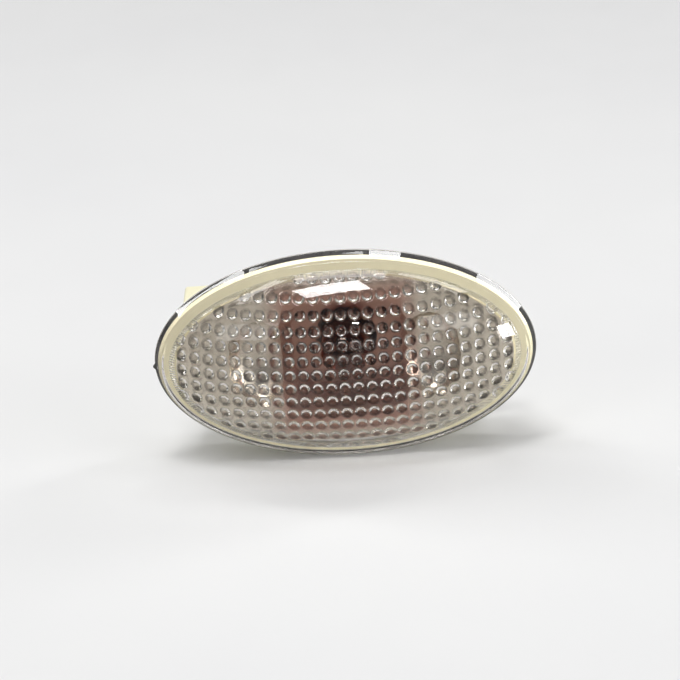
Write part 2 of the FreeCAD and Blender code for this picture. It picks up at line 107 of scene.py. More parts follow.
OUTER_AXES = DOME_OVAL / section_share(DOME_DEPTH_AXIS, RIM_LEVEL)
INNER_AXES = OUTER_AXES - LENS_WALL
INNER_DEPTH_AXIS = DOME_DEPTH_AXIS - LENS_WALL
INNER_OVAL = INNER_AXES * section_share(INNER_DEPTH_AXIS, LEDGE_LEVEL)
print("dome oval", (DOME_OVAL / MM).round(2), "inside oval", (INNER_OVAL / MM).round(2))

# %% [markdown]
# A net of points follows the bead grid, with the same number of lines to each bead, so all beads come out
# alike. Rings about the middle would be simpler, but they would cut each bead in another way. The net
# serves twice, for the smooth outside and for the beaded inside.

# %% The net that both sides of the dome share
BEAD_PITCH = np.array([2.73, 2.84]) * MM
LINES_PER_BEAD = 11
NET_MARGIN = 0.3


def oval_net(half_sizes, pitch, lines):
    """A rectangular net cut to an oval, in shares of the oval's half sizes.

    The net's lines are one pitch / `lines` apart. A point is outside where the root of the summed squares
    of its two shares is one or more, less a margin; it is divided by that root, which puts it on the oval.
    Gives the points, the quads that keep a point inside, and the oval's points in order of angle."""
    step = pitch / lines
    count = np.ceil(half_sizes / step).astype(int) + 1
    across = np.arange(-count[0], count[0] + 1) * step[0] / half_sizes[0]
    upward = np.arange(-count[1], count[1] + 1) * step[1] / half_sizes[1]
    shares = np.stack(np.meshgrid(across, upward, indexing="ij"), axis=-1).reshape(-1, 2)
    reach = np.linalg.norm(shares, axis=1)
    outside = reach > 1 - NET_MARGIN * step[1] / half_sizes[1]
    shares[outside] /= reach[outside, None]
    number = np.arange(len(shares)).reshape(len(across), len(upward))
    corners = [number[:-1, :-1], number[1:, :-1], number[1:, 1:], number[:-1, 1:]]
    quads = np.stack(corners, axis=-1).reshape(-1, 4)
    quads = quads[(~outside[quads]).any(axis=1)]
    used, quads = np.unique(quads, return_inverse=True)
    shares = shares[used]
    edge = np.flatnonzero(outside[used])
    edge = edge[np.argsort(np.arctan2(shares[edge, 1], shares[edge, 0]))]
    return shares, quads.reshape(-1, 4), edge


net, net_quads, net_edge = oval_net(INNER_OVAL, BEAD_PITCH, LINES_PER_BEAD)
print("net:", len(net), "points,", len(net_edge), "of them on the oval")

# %% [markdown]
# Both sides of the dome are parts of ellipsoids about one middle, the inner one smaller by the wall all
# round. A scaled copy of the outside would be simpler, but its wall would be thicker at the ends.


# %% The dome without its beads
def dome_points(plan, axes, depth_axis):
    """Points of an ellipsoid's front over plan points (x, z): y is the middle's level less the depth axis
    times the root of 1 - (x / axis)^2 - (z / axis)^2."""
    rest = 1 - ((plan / axes) ** 2).sum(axis=1)
    level = DOME_CENTRE - depth_axis * np.sqrt(rest)
    return np.column_stack([plan[:, 0], level, plan[:, 1]])


def inward(points, axes, depth_axis):
    """Unit normals towards an ellipsoid's middle: minus the gradient (x / a^2, y / b^2, z / c^2)."""
    middle = np.array([0, DOME_CENTRE, 0])
    squares = np.array([axes[0], depth_axis, axes[1]]) ** 2
    gradient = (points - middle) / squares
    return -gradient / np.linalg.norm(gradient, axis=1, keepdims=True)


outside_dome = dome_points(net * DOME_OVAL, OUTER_AXES, DOME_DEPTH_AXIS)
bare_inside = dome_points(net * INNER_OVAL, INNER_AXES, INNER_DEPTH_AXIS)
print("dome is", round(np.ptp(outside_dome[:, 1]) / MM, 2), "mm deep")

# %% [markdown]
# Each bead is a cap of a sphere that stands on the dome's inside. Beads that the foot of the dome cuts off
# are kept, as in the photo, and fade out over a short way so that the foot stays closed.

# %% Beads inside the dome
BEAD_RADIUS = 1.1 * MM
BEAD_HEIGHT = 0.72 * MM
BEAD_EDGE_FADE = 0.35 * MM
NO_BEAD = 2.0
LEAST_SHARE = 0.05


def bead_share(points):
    """Distance of each point of the dome's inside from the nearest bead's middle, as a share of the bead's
    radius. Where that middle would lie beyond the dome it is NO_BEAD, which is clear of any bead."""
    plan = points[:, [0, 2]]
    middle_plan = np.round(plan / BEAD_PITCH) * BEAD_PITCH
    limit = INNER_OVAL - BEAD_EDGE_FADE
    present = ((middle_plan / limit) ** 2).sum(axis=1) <= 1
    middle_plan = np.where(present[:, None], middle_plan, 0)
    middle = dome_points(middle_plan, INNER_AXES, INNER_DEPTH_AXIS)
    distance = np.linalg.norm(points - middle, axis=1)
    return np.where(present, distance / BEAD_RADIUS, NO_BEAD)


def bead_rise(share):
    """Height of a bead over the dome: a cap of a sphere whose radius is (r^2 + h^2) / 2h, for bead radius r
    and height h. At a distance d from its middle it is root(radius^2 - d^2) - (radius - h), and no less
    than nought."""
    sphere = (BEAD_RADIUS**2 + BEAD_HEIGHT**2) / (2 * BEAD_HEIGHT)
    squared = (share * BEAD_RADIUS) ** 2
    cap = np.sqrt(np.maximum(sphere**2 - squared, 0)) - (sphere - BEAD_HEIGHT)
    return np.maximum(cap, 0)


def edge_distance(shares, half_sizes):
    """Distance from an oval's edge, on the line to its middle: a point's distance from the middle, times
    one less its share of the way to the edge, divided by that share."""
    share = np.maximum(np.linalg.norm(shares, axis=1), LEAST_SHARE)
    return (1 - share) / share * np.linalg.norm(shares * half_sizes, axis=1)


from_edge = edge_distance(net, INNER_OVAL)
beads = bead_share(bare_inside)
rise = bead_rise(beads) * np.clip(from_edge / BEAD_EDGE_FADE, 0, 1)
inside_dome = bare_inside + rise[:, None] * inward(bare_inside, INNER_AXES, INNER_DEPTH_AXIS)
print("beads stand up to", round(rise.max() / MM, 2), "mm proud")

# %% [markdown]
# Border, skirt and ledge are one profile carried round the oval. Each profile point is a pair of half sizes
# of an oval, and a level along Y. A polished mould leaves the edges slightly round. A bevel could do that
# later, but close pairs of points do it here at once.

# %% Profile of the border, skirt and ledge
EDGE = 0.12 * MM
SEAT_SHARE = (LEDGE_LEVEL - RIM_LEVEL) / SKIRT_DEPTH
SEAT_OVAL = RIM_OVAL + SKIRT_FLARE * SEAT_SHARE - SKIRT_WALL
profile = [
    (RIM_OVAL - 0.8 * BORDER_WIDTH, RIM_LEVEL),
    (RIM_OVAL - 4 * EDGE, RIM_LEVEL),
    (RIM_OVAL - 2 * EDGE, RIM_LEVEL + 0.2 * EDGE),
    (RIM_OVAL - 0.6 * EDGE, RIM_LEVEL + EDGE),
    (RIM_OVAL + 0.2 * EDGE, RIM_LEVEL + 2.4 * EDGE),
    (RIM_OVAL + 0.3 * SKIRT_FLARE, RIM_LEVEL + 0.33 * SKIRT_DEPTH),
    (RIM_OVAL + 0.65 * SKIRT_FLARE, RIM_LEVEL + 0.67 * SKIRT_DEPTH),
    (BACK_OVAL - EDGE, BACK_EDGE - 2 * EDGE),
    (BACK_OVAL - 0.4 * EDGE, BACK_EDGE - 0.6 * EDGE),
    (BACK_OVAL - 2 * EDGE, BACK_EDGE),
    (BACK_OVAL - SKIRT_WALL + 2 * EDGE, BACK_EDGE),
    (BACK_OVAL - SKIRT_WALL, BACK_EDGE - EDGE),
    (SEAT_OVAL + 0.3 * EDGE, LEDGE_LEVEL + EDGE),
    (SEAT_OVAL - EDGE, LEDGE_LEVEL),
    (INNER_OVAL + EDGE, LEDGE_LEVEL),
]
REAR_RINGS = slice(7, 10)


def swept_rings(sections, circle):
    """Carries a profile round an oval. Point j of ring k is (half width k times the cosine of angle j,
    level k, half height k times the sine of angle j)."""
    ovals = np.array([oval for oval, level in sections])
    levels = np.array([level for oval, level in sections])
    swept = np.empty((len(sections), len(circle), 3))
    swept[:, :, 0] = ovals[:, :1] * circle[:, 0]
    swept[:, :, 1] = levels[:, None]
    swept[:, :, 2] = ovals[:, 1:] * circle[:, 1]
    return swept


rings = swept_rings(profile, net[net_edge])
print(len(rings), "rings of", rings.shape[1], "points")

# %% [markdown]
# At the left end a stub is left where the plastic was let into the mould and then broken off. It could be a
# block of its own, but it grew with the lens, so it pushes the skirt's rear rings outwards over a short
# stretch of their height.

# %% Gate stub
GATE_REACH = 0.46 * MM
GATE_HALF_WIDTH = 0.45 * MM
GATE_DROP = 0.7 * MM
GATE_FULLNESS = 1.4
stub_share = GATE_FULLNESS - np.abs(rings[REAR_RINGS, :, 2] + GATE_DROP) / GATE_HALF_WIDTH
at_left = rings[REAR_RINGS, :, 0] < 0
rings[REAR_RINGS, :, 0] -= GATE_REACH * np.clip(stub_share, 0, 1) * at_left
print("stub at x =", round(rings[:, :, 0].min() / MM, 2), "mm")

# %% [markdown]
# The two sides of the dome and the rings share the same points round the oval, so bands of quads close the
# lens into one skin with no seam.


# %% Join the lens
def band_quads(loops):
    """Quads between each closed loop of point numbers and the next one."""
    ahead = np.roll(loops, -1, axis=1)
    corners = [loops[:-1], loops[1:], ahead[1:], ahead[:-1]]
    return np.stack(corners, axis=-1).reshape(-1, 4)


def add_piece(name, points, quads, body, node):
    """Makes a smooth mesh object from points and quads, in the place of one CAD node."""
    mesh = bpy.data.meshes.new(name)
    mesh.from_pydata(points, [], quads)
    mesh.shade_smooth()
    piece = bpy.data.objects.new(name, mesh)
    scene.collection.objects.link(piece)
    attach(piece, body)
    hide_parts(node)
    return piece


inside_start = len(net)
ring_start = 2 * len(net)
ring_numbers = ring_start + np.arange(rings.shape[0] * rings.shape[1]).reshape(rings.shape[:2])
loops = np.concatenate([net_edge[None], ring_numbers, inside_start + net_edge[None]])
lens_points = np.concatenate([outside_dome, inside_dome, rings.reshape(-1, 3)])
lens_quads = np.concatenate([net_quads, inside_start + net_quads[:, ::-1], band_quads(loops)])
lens = add_piece("clear_lens", lens_points, lens_quads, "lamp_body", "lens")
print("lens:", len(lens_points), "points,", 2 * len(lens_quads), "triangles")

# %% [markdown]
# A fine row of flutes runs round the foot of the dome's inside. They are half a millimetre apart, too fine
# for the net, so the lens keeps two values at each point and its finish draws them as a bump: how strong the
# flutes are there, and how many flutes lie between that point and the right-hand end. A third value says how
# near a point is to the rim of its bead, and the finish paints a dark shade there.

# %% Flutes and bead rims
FLUTE_PITCH = 0.5 * MM
FLUTE_BAND = 1.2 * MM
FLUTE_FADE = 0.4 * MM
ARC_STEPS = 2000
RIM_START = 0.5
RIM_END = 1.1


def keep_on_inside(label, values):
    """Stores one value for each point of the dome's inside, and nought for the rest of the lens."""
    stored = np.zeros(len(lens_points))
    stored[inside_start:ring_start] = values
    lens.data.attributes.new(label, "FLOAT", "POINT").data.foreach_set("value", stored)


turn = np.linspace(0, math.pi, ARC_STEPS + 1)
oval_x = INNER_OVAL[0] * np.cos(turn)
oval_z = INNER_OVAL[1] * np.sin(turn)
arc = np.concatenate([[0], np.cumsum(np.hypot(np.diff(oval_x), np.diff(oval_z)))])
point_turn = np.abs(np.arctan2(net[:, 1], net[:, 0]))
keep_on_inside("flute_strength", np.clip((FLUTE_BAND - from_edge) / FLUTE_FADE, 0, 1))
keep_on_inside("flute_count", np.interp(point_turn, turn, arc) / FLUTE_PITCH)
# The mask for the painted shade on each bead's rim.
keep_on_inside("bead_rim_shade_mask", np.clip((beads - RIM_START) / (1 - RIM_START), 0, 1) * (beads < RIM_END))
print("flutes:", round(2 * arc[-1] / FLUTE_PITCH))

# %% [markdown]
# ## Filament
# The bulb's filament is tungsten wire wound into a coil and bent to an arch between the two leads. A curve
# with a bevel could draw it, but its ends would have to be capped. Here a small circle is carried along a
# helix, and the helix runs round the arch of the solid.

# %% Wind the filament
COIL_TURNS = 22
WIRE_RADIUS = 0.07 * MM
WIRE_SIDES = 6
STATIONS_PER_TURN = 20
fil_low, fil_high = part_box("bulb_filament")


def unit(vectors):
    """Each vector divided by its length."""
    return vectors / np.linalg.norm(vectors, axis=1, keepdims=True)


def tube_quads(stations, sides):
    """Quads of a tube of rings with an even number of points each. Both ends are closed by a row of quads
    across the end ring, each between points k, k + 1 and their opposites counted from the ring's end."""
    number = np.arange(stations * sides).reshape(stations, sides)
    half = np.arange(sides // 2 - 1)
    row = np.stack([half, half + 1, sides - 2 - half, sides - 1 - half], axis=-1)
    return np.concatenate([band_quads(number), number[0][row], number[-1][row[:, ::-1]]])


def coil(low, high, turns, wire, stations, sides):
    """A helix round an arch. Along the arch, x runs from one end to the other as s goes from -1 to 1, and
    y falls from the ends by the arch's height times (1 - s^2). The helix adds the coil's radius times the
    cosine and sine of its angle on two directions square to the arch."""
    radius = (high.z - low.z) / 2 - wire
    share = np.linspace(-1, 1, stations)
    half_span = (high.x - low.x) / 2 - radius - wire
    drop = (high.y - low.y) - 2 * (radius + wire)
    base = high.y - radius - wire
    spine = np.column_stack([half_span * share, base - drop * (1 - share**2), 0 * share])
    along = unit(np.gradient(spine, axis=0))
    upright = np.tile([0.0, 0.0, 1.0], (stations, 1))
    aside = np.cross(upright, along)
    angle = (share + 1) * math.pi * turns
    path = spine + radius * (np.cos(angle)[:, None] * aside + np.sin(angle)[:, None] * upright)
    heading = unit(np.gradient(path, axis=0))
    first = unit(np.cross(heading, along))
    second = np.cross(first, heading)
    ring = np.linspace(0, 2 * math.pi, sides, endpoint=False)
    offset = np.cos(ring)[None, :, None] * first[:, None] + np.sin(ring)[None, :, None] * second[:, None]
    points = path[:, None] + wire * offset
    return points.reshape(-1, 3), tube_quads(stations, sides)


coil_points, coil_quads = coil(
    fil_low, fil_high, COIL_TURNS, WIRE_RADIUS, COIL_TURNS * STATIONS_PER_TURN, WIRE_SIDES
)
filament = add_piece(
    "coiled_filament", coil_points, coil_quads, "bulb_unit", "bulb_filament"
)
print("filament:", COIL_TURNS, "turns,", 2 * len(coil_quads), "triangles")

# %% [markdown]
# ## Finishes
# Two effects are shared. Mottle is the slow change of tone and gloss in any moulding or coating, with a fine
# grain over it. Specks are the few dust grains that a used lamp shows, and the painted shade of pits. Both
# are node groups that give out only colours, masks and values, and each finish has its own shader. Small
# helpers come first, so that a finish reads as a few lines.


# %% Helpers for node trees
# A Mix node has sockets for each kind of data, and these are the places of its colours
FIRST_COLOUR = 6
SECOND_COLOUR = 7
MIXED_COLOUR = 2


def set_or_link(group, socket, value):
    """Sets a socket to a number, or links another socket to it."""
    if isinstance(value, (int, float)):
        socket.default_value = value
    else:
        group.links.new(value, socket)


def noise(group, coordinates, scale, detail):
    """A noise texture on the given coordinates."""
    node = group.nodes.new("ShaderNodeTexNoise")
    node.inputs["Detail"].default_value = detail
    group.links.new(coordinates, node.inputs["Vector"])
    set_or_link(group, node.inputs["Scale"], scale)
    return node.outputs["Fac"]


def remap(group, value, low, high, to_low=0.0, to_high=1.0):
    """Carries low..high to to_low..to_high and holds the ends."""
    node = group.nodes.new("ShaderNodeMapRange")
    group.links.new(value, node.inputs["Value"])
    for label, setting in (("From Min", low), ("From Max", high), ("To Min", to_low), ("To Max", to_high)):
        set_or_link(group, node.inputs[label], setting)
    return node.outputs["Result"]


def math_node(group, operation, *values):
    """One Math node; each value is a number or a socket."""
    node = group.nodes.new("ShaderNodeMath")
    node.operation = operation
    for socket, value in zip(node.inputs, values):
        set_or_link(group, socket, value)
    return node.outputs["Value"]


def mix_colour(group, share, first, second):
    """Mixes two colours by a share; each is red, green and blue, or a socket."""
    node = group.nodes.new("ShaderNodeMix")
    node.data_type = "RGBA"
    group.links.new(share, node.inputs["Factor"])
    for number, colour in ((FIRST_COLOUR, first), (SECOND_COLOUR, second)):
        if isinstance(colour, tuple):
            node.inputs[number].default_value = (*colour, 1.0)
        else:
            group.links.new(colour, node.inputs[number])
    return node.outputs[MIXED_COLOUR]


def object_place(tree):
    """The place of a point in the lamp's own frame."""
    return tree.nodes.new("ShaderNodeTexCoord").outputs["Object"]


def new_group(name, inputs, outputs):
    """An empty node group with named sockets, and its input and output nodes."""
    group = bpy.data.node_groups.new(name, "ShaderNodeTree")
    for label, kind, value in inputs:
        socket = group.interface.new_socket(label, in_out="INPUT", socket_type=kind)
        socket.default_value = value
    for label, kind in outputs:
        group.interface.new_socket(label, in_out="OUTPUT", socket_type=kind)
    entry = group.nodes.new("NodeGroupInput")
    leave = group.nodes.new("NodeGroupOutput")
    return group, entry.outputs, leave.inputs


print("helpers for node trees are ready")

# %% [markdown]
# Mottle mixes two tones by a slow noise and two degrees of gloss by a much finer one. An image of a worn
# surface could do the same, but noise has no seams and needs no unwrapping.

# %% Mottle
GREY = (0.5, 0.5, 0.5, 1.0)
SLOW_LOW = 0.35
SLOW_HIGH = 0.65
SLOW_DETAIL = 3.0
GRAIN_LOW = 0.3
GRAIN_HIGH = 0.7
GRAIN_DETAIL = 2.0
GRAIN_FINENESS = 14.0
mottle, mottle_in, mottle_out = new_group(
    "mottle",
    [
        ("Scale", "NodeSocketFloat", 60.0),
        ("First Tone", "NodeSocketColor", GREY),
        ("Second Tone", "NodeSocketColor", GREY),
        ("Gloss End", "NodeSocketFloat", 0.2),
        ("Dull End", "NodeSocketFloat", 0.4),
    ],
    [("Tone", "NodeSocketColor"), ("Roughness", "NodeSocketFloat"), ("Grain", "NodeSocketFloat")],
)
place = object_place(mottle)
slow = remap(mottle, noise(mottle, place, mottle_in["Scale"], SLOW_DETAIL), SLOW_LOW, SLOW_HIGH)
grain_scale = math_node(mottle, "MULTIPLY", mottle_in["Scale"], GRAIN_FINENESS)
grain = noise(mottle, place, grain_scale, GRAIN_DETAIL)
tone = mix_colour(mottle, slow, mottle_in["First Tone"], mottle_in["Second Tone"])
roughness = remap(mottle, grain, GRAIN_LOW, GRAIN_HIGH, mottle_in["Gloss End"], mottle_in["Dull End"])
mottle.links.new(tone, mottle_out["Tone"])
mottle.links.new(roughness, mottle_out["Roughness"])
mottle.links.new(grain, mottle_out["Grain"])
print("mottle:", len(mottle.nodes), "nodes")

# %% [markdown]
# Specks lie near the middles of Voronoi cells, and only in the few cells whose chance value is high.

# %% Specks
BARE_CELLS = 0.8
specks, specks_in, specks_out = new_group(
    "specks",
    [("Scale", "NodeSocketFloat", 400.0), ("Size", "NodeSocketFloat", 0.12)],
    [("Mask", "NodeSocketFloat")],
)
cells = specks.nodes.new("ShaderNodeTexVoronoi")
specks.links.new(object_place(specks), cells.inputs["Vector"])
specks.links.new(specks_in["Scale"], cells.inputs["Scale"])
near = math_node(specks, "LESS_THAN", cells.outputs["Distance"], specks_in["Size"])
chance = specks.nodes.new("ShaderNodeSeparateColor")
specks.links.new(cells.outputs["Color"], chance.inputs["Color"])
few = math_node(specks, "GREATER_THAN", chance.outputs["Red"], BARE_CELLS)
specks.links.new(math_node(specks, "MULTIPLY", near, few), specks_out["Mask"])
print("specks:", len(specks.nodes), "nodes")

# %% [markdown]
# A finish starts as one Principled shader with mottle on its colour and roughness. Bump and specks are then
# laid over it where the real surface has them.


# %% How a finish is put together
def new_finish(name, scale, first, second, gloss, dull, settings=None):
    """A material with one Principled shader, whose colour and roughness come from a mottle node called
    tones. The settings are values for the shader's own sockets."""
    material = bpy.data.materials.new(name)
    material.use_nodes = True
    tones = material.node_tree.nodes.new("ShaderNodeGroup")
    tones.name = "tones"
    tones.node_tree = mottle
    tones.inputs["Scale"].default_value = scale
    tones.inputs["First Tone"].default_value = (*first, 1.0)
    tones.inputs["Second Tone"].default_value = (*second, 1.0)
    tones.inputs["Gloss End"].default_value = gloss
    tones.inputs["Dull End"].default_value = dull
    feed(material, "Base Color", tones.outputs["Tone"])
    feed(material, "Roughness", tones.outputs["Roughness"])
    for label, value in (settings or {}).items():
        shader_of(material).inputs[label].default_value = value
    return material


def shader_of(material):
    """The material's Principled shader."""
    return next(node for node in material.node_tree.nodes if node.type == "BSDF_PRINCIPLED")


def tones_of(material):
    """What the material's mottle node gives out."""
    return material.node_tree.nodes["tones"].outputs


def feed(material, label, value):
    """Links a value to one of the shader's sockets, in place of what fed it before."""
    material.node_tree.links.new(value, shader_of(material).inputs[label])


def add_bump(material, height, strength, distance):
    """Feeds a height into the shader's normal."""
    bump = material.node_tree.nodes.new("ShaderNodeBump")
    bump.inputs["Strength"].default_value = strength
    bump.inputs["Distance"].default_value = distance
    material.node_tree.links.new(height, bump.inputs["Height"])
    feed(material, "Normal", bump.outputs["Normal"])


def add_specks(material, scale, size, colour):
    """Lays specks of one colour over the shader's own colour."""
    dots = material.node_tree.nodes.new("ShaderNodeGroup")
    dots.node_tree = specks
    dots.inputs["Scale"].default_value = scale
    dots.inputs["Size"].default_value = size
    under = shader_of(material).inputs["Base Color"].links[0].from_socket
    feed(material, "Base Color", mix_colour(material.node_tree, dots.outputs["Mask"], under, colour))


def point_value(tree, label):
    """Reads a value that a mesh keeps at its points."""
    node = tree.nodes.new("ShaderNodeAttribute")
    node.attribute_name = label
    return node.outputs["Fac"]


print("a finish starts with", [group.name for group in bpy.data.node_groups])

# %% [markdown]
# The lens is clear acrylic, a little warm in tone, so its shader is glass with acrylic's index of refraction.
# A sine of the flute count, times the flute strength, is the height of its bump. A real bead throws light
# sideways at its steep rim and looks dark there, so a dark shade is painted on the rim's tone. Glass stops
# the rays that look for a lamp, so for those rays alone the lens is mostly open, and light reaches the
# reflector.

# %% Clear plastic
FLUTE_HEIGHT = 0.08 * MM
RIM_PAINTED_SHADE = (0.05, 0.045, 0.045)
RIM_SHADE_STRENGTH = 0.92
SHADOW_SHARE = 0.2
clear = new_finish(
    "clear_plastic",
    scale=40.0,
    first=(0.985, 0.955, 0.93),
    second=(0.995, 0.968, 0.945),
    gloss=0.0,
    dull=0.02,
    settings={"Transmission Weight": 1.0, "IOR": 1.49},
)
tree = clear.node_tree
flute_angle = math_node(tree, "MULTIPLY", point_value(tree, "flute_count"), 2 * math.pi)
wave = math_node(tree, "SINE", flute_angle)
flutes = math_node(tree, "MULTIPLY", wave, point_value(tree, "flute_strength"))
add_bump(clear, flutes, strength=1.0, distance=FLUTE_HEIGHT)
# Painted shade: each bead's rim is darkened towards a near-black colour.
rim_painted_shade_share = math_node(tree, "MULTIPLY", point_value(tree, "bead_rim_shade_mask"), RIM_SHADE_STRENGTH)
feed(clear, "Base Color", mix_colour(tree, rim_painted_shade_share, tones_of(clear)["Tone"], RIM_PAINTED_SHADE))
shadow_ray = tree.nodes.new("ShaderNodeLightPath").outputs["Is Shadow Ray"]
feed(clear, "Alpha", remap(tree, shadow_ray, 0.0, 1.0, 1.0, SHADOW_SHARE))
print("clear plastic:", len(tree.nodes), "nodes")

# %% [markdown]
# The housing is cream moulded plastic with a satin skin, so its grain is a weak bump and its specks are few.

# %% Cream plastic
cream = new_finish(
    "cream_plastic", scale=70.0, first=(0.84, 0.80, 0.57), second=(0.88, 0.84, 0.61), gloss=0.32, dull=0.46
)
add_bump(cream, tones_of(cream)["Grain"], strength=0.15, distance=0.05 * MM)
add_specks(cream, scale=900.0, size=0.1, colour=(0.55, 0.47, 0.28))
print("cream plastic:", len(cream.node_tree.nodes), "nodes")

# %% [markdown]
# The reflector is a moulding too, with aluminium laid on it in a vacuum. Round the bulb a dark reddish brown
# is painted over the bright coat, as painted shade in the chamber and a painted reflection of the amber bulb,
# so the chamber reads dark between the two silver ends, as in the photo. The painted part could be a second
# material on the chamber's faces, but it has no sharp edge, so it is a soft-edged oblong in X and Z.

# %% Bright coating
BAY_HALF_WIDTH = 11.5 * MM
BAY_HALF_HEIGHT = 13.0 * MM
BAY_SOFTNESS = 5.0 * MM
BAY_PAINTED_SHADE_TONE = (0.45, 0.265, 0.21)
BAY_PAINTED_SHADE_METALLIC = 0.7


def outside_shaded_bay(tree, half_width, half_height, softness):
    """Nought inside the bay round the middle of the lamp, where shade is painted, and one outside it: the
    greater of two soft steps, on the distance from x = 0 and on the distance from z = 0."""
    axes = tree.nodes.new("ShaderNodeSeparateXYZ")
    tree.links.new(object_place(tree), axes.inputs["Vector"])
    across = math_node(tree, "ABSOLUTE", axes.outputs["X"])
    upward = math_node(tree, "ABSOLUTE", axes.outputs["Z"])
    beside = remap(tree, across, half_width, half_width + softness)
    above = remap(tree, upward, half_height, half_height + softness)
    return math_node(tree, "MAXIMUM", beside, above)


bright = new_finish(
    "bright_coating", scale=120.0, first=(0.71, 0.67, 0.58), second=(0.78, 0.74, 0.65), gloss=0.18, dull=0.26
)
add_bump(bright, tones_of(bright)["Grain"], strength=0.1, distance=0.02 * MM)
silver = outside_shaded_bay(bright.node_tree, BAY_HALF_WIDTH, BAY_HALF_HEIGHT, BAY_SOFTNESS)
# Painted shade and a painted reflection of the amber bulb: inside the bay the coat is a dark reddish brown
# and less metallic.
coat = mix_colour(bright.node_tree, silver, BAY_PAINTED_SHADE_TONE, tones_of(bright)["Tone"])
feed(bright, "Base Color", coat)
feed(bright, "Metallic", remap(bright.node_tree, silver, 0.0, 1.0, BAY_PAINTED_SHADE_METALLIC, 1.0))
print("bright coating:", len(bright.node_tree.nodes), "nodes")

# %% [markdown]
# The gasket is closed-cell foam, cut from sheet, so its skin is pitted: a strong bump, and many dark specks
# that are painted shade in the pits.
# The seal is plain soft rubber, smoother and a little shinier.

# %% Foam and rubber
foam = new_finish(
    "foam_rubber",
    scale=260.0,
    first=(0.030, 0.030, 0.032),
    second=(0.055, 0.055, 0.055),
    gloss=0.75,
    dull=0.95,
)
add_bump(foam, tones_of(foam)["Grain"], strength=0.6, distance=0.15 * MM)
# Painted shade: dark specks in the pits of the foam.
add_specks(foam, scale=1500.0, size=0.25, colour=(0.010, 0.010, 0.010))
rubber = new_finish(
    "seal_rubber",
    scale=150.0,
    first=(0.024, 0.024, 0.026),
    second=(0.040, 0.040, 0.042),
    gloss=0.45,
    dull=0.62,
)
add_bump(rubber, tones_of(rubber)["Grain"], strength=0.2, distance=0.05 * MM)
print("foam:", len(foam.node_tree.nodes), "nodes, rubber:", len(rubber.node_tree.nodes), "nodes")

# %% [markdown]
# The bulb's glass is dipped in an amber coat, so it is glass of that colour, with the coat's uneven gloss.
# Its leads are bare drawn wire, and its filament is tungsten, darker and duller.

# %% Bulb
amber = new_finish(
    "amber_glass",
    scale=90.0,
    first=(0.50, 0.13, 0.03),
    second=(0.58, 0.18, 0.04),
    gloss=0.02,
    dull=0.08,
    settings={"Transmission Weight": 1.0, "IOR": 1.5},
)
tungsten = new_finish(
    "filament_wire",
    scale=900.0,
    first=(0.30, 0.30, 0.32),
    second=(0.46, 0.46, 0.48),
    gloss=0.35,
    dull=0.5,
    settings={"Metallic": 1.0},
)
wire = new_finish(
    "lead_wire",
    scale=500.0,
    first=(0.60, 0.58, 0.53),
    second=(0.72, 0.70, 0.65),
    gloss=0.22,
    dull=0.4,
    settings={"Metallic": 1.0},
)
print("bulb glass:", len(amber.node_tree.nodes), "nodes, wires:", len(wire.node_tree.nodes), "nodes each")

# %% [markdown]
# The bulb holder is dark plastic filled with glass fibre against the heat, which shows as paler specks. The
# contacts are brass strip.

# %% Holder and contacts
dark = new_finish(
    "dark_plastic",
    scale=110.0,
    first=(0.030, 0.027, 0.025),
    second=(0.050, 0.046, 0.042),
    gloss=0.36,
    dull=0.55,
)
add_bump(dark, tones_of(dark)["Grain"], strength=0.25, distance=0.05 * MM)
add_specks(dark, scale=1100.0, size=0.12, colour=(0.09, 0.08, 0.07))
brass = new_finish(
    "contact_brass",
    scale=200.0,
    first=(0.70, 0.55, 0.28),
    second=(0.80, 0.66, 0.38),
    gloss=0.2,
    dull=0.36,
    settings={"Metallic": 1.0},
)
print("dark plastic:", len(dark.node_tree.nodes), "nodes, brass:", len(brass.node_tree.nodes), "nodes")

# %% [markdown]
# The record names a slot for each solid. A table from slots to the finishes above lets one loop hand them
# out, in place of the plain colours that the solids came with.

# %% Give each piece its finish
finishes = {
    "clear_plastic": clear,
    "cream_plastic": cream,
    "bright_coating": bright,
    "foam_rubber": foam,
    "amber_glass": amber,
    "filament_wire": tungsten,
    "lead_wire": wire,
    "dark_plastic": dark,
    "seal_rubber": rubber,
    "contact_brass": brass,
}
for part in frame["record"]["subparts"]:
    node = solids[part["node"]]
    node.data.materials.clear()
    node.data.materials.append(finishes[part["material_slot"]])
lens.data.materials.append(clear)
filament.data.materials.append(tungsten)
print("finishes:", len(finishes))

# %% [markdown]
# ## Studio
# The lamp stands on a plain pale floor. Strips of soft light stand round it, and their reflections draw the
# lens. A clear thing on pale ground has little else to show its edges by, so the floor and the world are
# darker for the rays that the lens mirrors or passes on than for those that come straight from the camera.

# %% Floor
FLOOR_HALF = 3.0
FLOOR_THROUGH_LENS = (0.56, 0.56, 0.55)
FLOOR_MIRRORED = (0.08, 0.08, 0.08)
floor_mesh = bpy.data.meshes.new("floor")
floor_corners = np.array([(-1, -1), (1, -1), (1, 1), (-1, 1)]) * FLOOR_HALF
floor_mesh.from_pydata([(x, y, cad_low.z) for x, y in floor_corners], [], [(0, 1, 2, 3)])
floor = bpy.data.objects.new("floor", floor_mesh)
scene.collection.objects.link(floor)
paper = new_finish(
    "paper", scale=8.0, first=(0.70, 0.70, 0.70), second=(0.72, 0.72, 0.715), gloss=0.7, dull=0.8
)
tree = paper.node_tree
ray = tree.nodes.new("ShaderNodeLightPath").outputs
through = mix_colour(tree, ray["Is Transmission Ray"], tones_of(paper)["Tone"], FLOOR_THROUGH_LENS)
mirrored = math_node(tree, "GREATER_THAN", ray["Is Glossy Ray"], ray["Is Transmission Ray"])
feed(paper, "Base Color", mix_colour(tree, mirrored, through, FLOOR_MIRRORED))
floor_mesh.materials.append(paper)
print("floor at z =", round(cad_low.z / MM, 2), "mm")

# %% [markdown]
# The world is a dim even grey. It only fills the shadows, and the strips do the rest.

